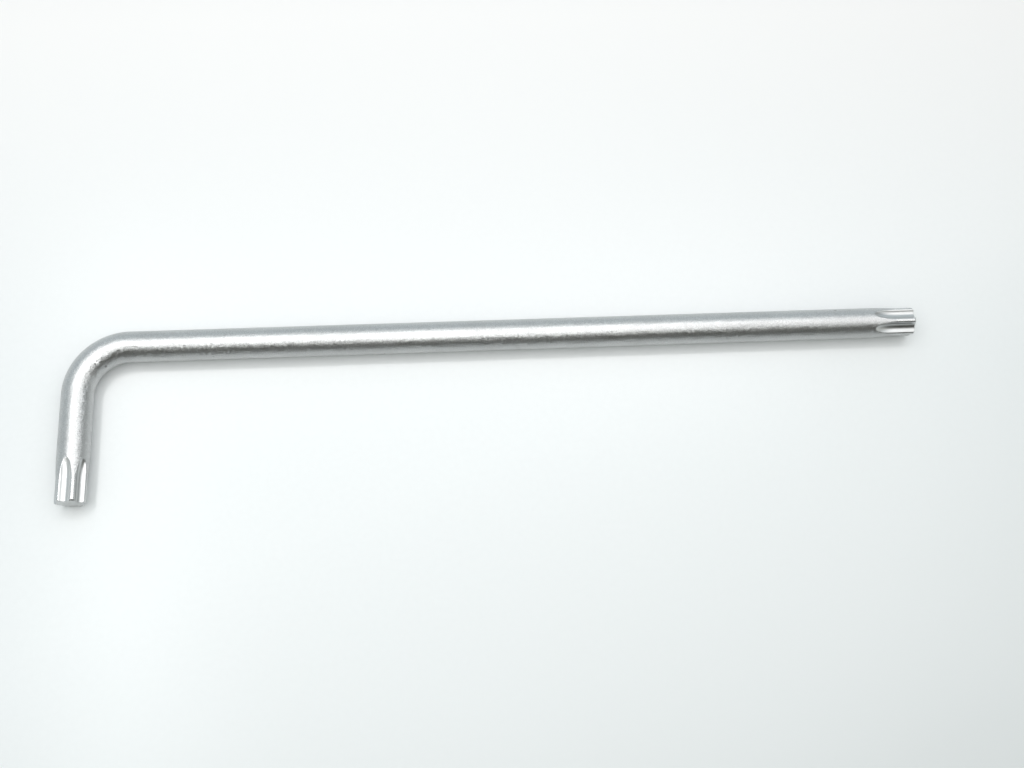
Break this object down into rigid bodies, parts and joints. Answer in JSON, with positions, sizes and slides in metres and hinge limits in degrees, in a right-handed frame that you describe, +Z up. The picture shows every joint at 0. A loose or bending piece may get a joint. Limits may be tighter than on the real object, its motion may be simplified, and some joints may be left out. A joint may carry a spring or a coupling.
{
  "type": "star key",
  "caption": "L-shaped star key bent from round steel bar, with a fluted hexalobular drive tip on its long arm and on its short arm, for turning star-socket screws.",
  "frame": {"origin": "on the surface that the key lies on, under the middle of its box", "axes": "+X along the long arm towards its tip, -Y along the short arm towards its tip, +Z up from the surface"},
  "size_m": [0.1876, 0.0378, 0.0067],
  "materials": {
    "satin_chrome": "satin pearl chrome, fine grain",
    "bright_chrome": "smooth bright chrome in the flutes"
  },
  "bodies": {
    "root": {"long_tip": "bright_chrome", "long_arm": "satin_chrome", "bend": "satin_chrome", "short_arm": "satin_chrome", "short_tip": "bright_chrome"}
  },
  "joints": []
}
